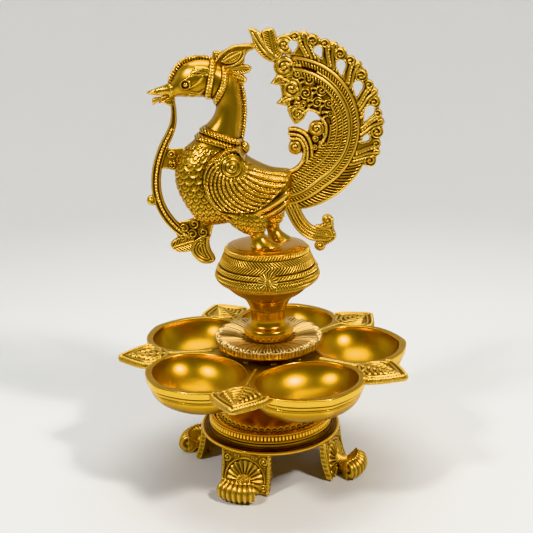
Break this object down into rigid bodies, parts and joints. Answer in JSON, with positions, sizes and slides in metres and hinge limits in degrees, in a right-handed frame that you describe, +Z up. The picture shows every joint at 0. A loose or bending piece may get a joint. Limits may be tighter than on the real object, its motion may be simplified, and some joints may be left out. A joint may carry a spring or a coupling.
{
  "type": "standing oil lamp",
  "caption": "Brass standing oil lamp: footed domed base, turning leaf-edged wick tray with oil cups, lotus collar, turned stem and a bird finial with an openwork tail.",
  "frame": {"origin": "on the standing surface, on the lamp's upright turning axis", "axes": "+Z up, -Y the lamp's front, -X the way the bird looks"},
  "size_m": [0.2039, 0.1998, 0.3057],
  "materials": {
    "turned_brass": "polished, lathe-turned, amber in the shade",
    "tray_brass": "satin, lathe-turned cups",
    "cast_brass": "as cast, chased, dark in the grooves",
    "bird_brass": "cast and chased, polished on the high parts",
    "steel": "plain",
    "joint_leather": "plain"
  },
  "bodies": {
    "stand": {"base_plate": "turned_brass", "base_dome": "turned_brass", "foot_1": "cast_brass", "foot_2": "cast_brass", "foot_3": "cast_brass", "foot_4": "cast_brass", "foot_screws": "steel", "tie_rod": "steel", "base_washer": "steel", "base_nut": "steel"},
    "tray": {"wick_tray": "tray_brass", "tray_hub": "turned_brass", "lotus_collar": "cast_brass"},
    "stem": {"stem_washer": "joint_leather", "stem": "turned_brass"},
    "finial": {"finial_washer": "joint_leather", "finial_stud": "steel", "pedestal_drum": "turned_brass", "perch_cap": "turned_brass", "bird_body": "bird_brass", "crest_plume": "cast_brass", "beak_garland": "cast_brass", "bird_tail": "cast_brass", "under_tail_leaf": "cast_brass"}
  },
  "joints": [
    {"name": "tray_turn", "type": "hinge", "parent": "stand", "child": "tray", "pos_m": [0, 0, 0.0906], "axis": [0, 0, 1], "continuous": true},
    {"name": "stem_unscrew", "type": "hinge", "parent": "stand", "child": "stem", "pos_m": [0, 0, 0.1], "axis": [0, 0, 1], "range_deg": [0, 3060]},
    {"name": "finial_unscrew", "type": "hinge", "parent": "stem", "child": "finial", "pos_m": [0, 0, 0.124], "axis": [0, 0, 1], "range_deg": [0, 3420]}
  ]
}
